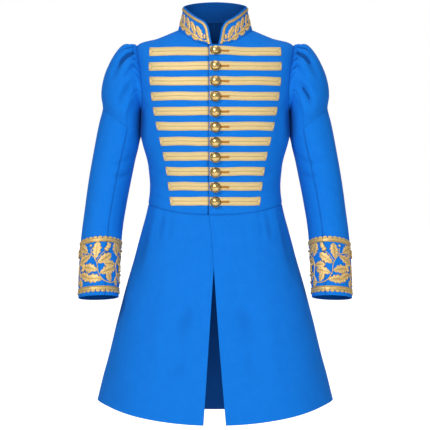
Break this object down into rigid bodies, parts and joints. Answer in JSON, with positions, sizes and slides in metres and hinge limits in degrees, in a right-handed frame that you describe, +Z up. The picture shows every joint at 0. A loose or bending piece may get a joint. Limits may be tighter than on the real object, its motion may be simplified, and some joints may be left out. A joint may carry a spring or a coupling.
{
  "type": "frock coat",
  "caption": "Wool frock coat in its worn, hollow form, with a stand collar, gathered sleeve heads, lace bars across the chest, domed buttons and a flared skirt.",
  "frame": {"origin": "midway between the neck ends of the two shoulder seams, where the wearer's neck and shoulders carry the coat", "axes": "+Z up, -Y the way the coat faces, +X the wearer's left"},
  "size_m": [0.6546, 0.4317, 1.0045],
  "materials": {
    "wool": "matt milled wool",
    "gold_lace": "woven gold lace, satin",
    "gilt": "polished gilt"
  },
  "bodies": {
    "root": {"back_left": "wool", "back_right": "wool", "bar_left_01": "gold_lace", "bar_left_02": "gold_lace", "bar_left_03": "gold_lace", "bar_left_04": "gold_lace", "bar_left_05": "gold_lace", "bar_left_06": "gold_lace", "bar_left_07": "gold_lace", "bar_left_08": "gold_lace", "bar_left_09": "gold_lace", "bar_left_10": "gold_lace", "bar_left_11": "gold_lace", "bar_right_01": "gold_lace", "bar_right_02": "gold_lace", "bar_right_03": "gold_lace", "bar_right_04": "gold_lace", "bar_right_05": "gold_lace", "bar_right_06": "gold_lace", "bar_right_07": "gold_lace", "bar_right_08": "gold_lace", "bar_right_09": "gold_lace", "bar_right_10": "gold_lace", "bar_right_11": "gold_lace", "button_01": "gilt", "button_02": "gilt", "button_03": "gilt", "button_04": "gilt", "button_05": "gilt", "button_06": "gilt", "button_07": "gilt", "button_08": "gilt", "button_09": "gilt", "button_10": "gilt", "button_11": "gilt", "collar": "wool", "collar_lace": "gold_lace", "cuff_lace_lower_left": "gold_lace", "cuff_lace_lower_right": "gold_lace", "cuff_lace_upper_left": "gold_lace", "cuff_lace_upper_right": "gold_lace", "front_left": "wool", "front_right": "wool", "skirt_back": "wool", "skirt_left": "wool", "skirt_right": "wool", "sleeve_head_left": "wool", "sleeve_head_right": "wool", "sleeve_top_left": "wool", "sleeve_top_right": "wool", "sleeve_under_left": "wool", "sleeve_under_right": "wool"}
  },
  "joints": []
}
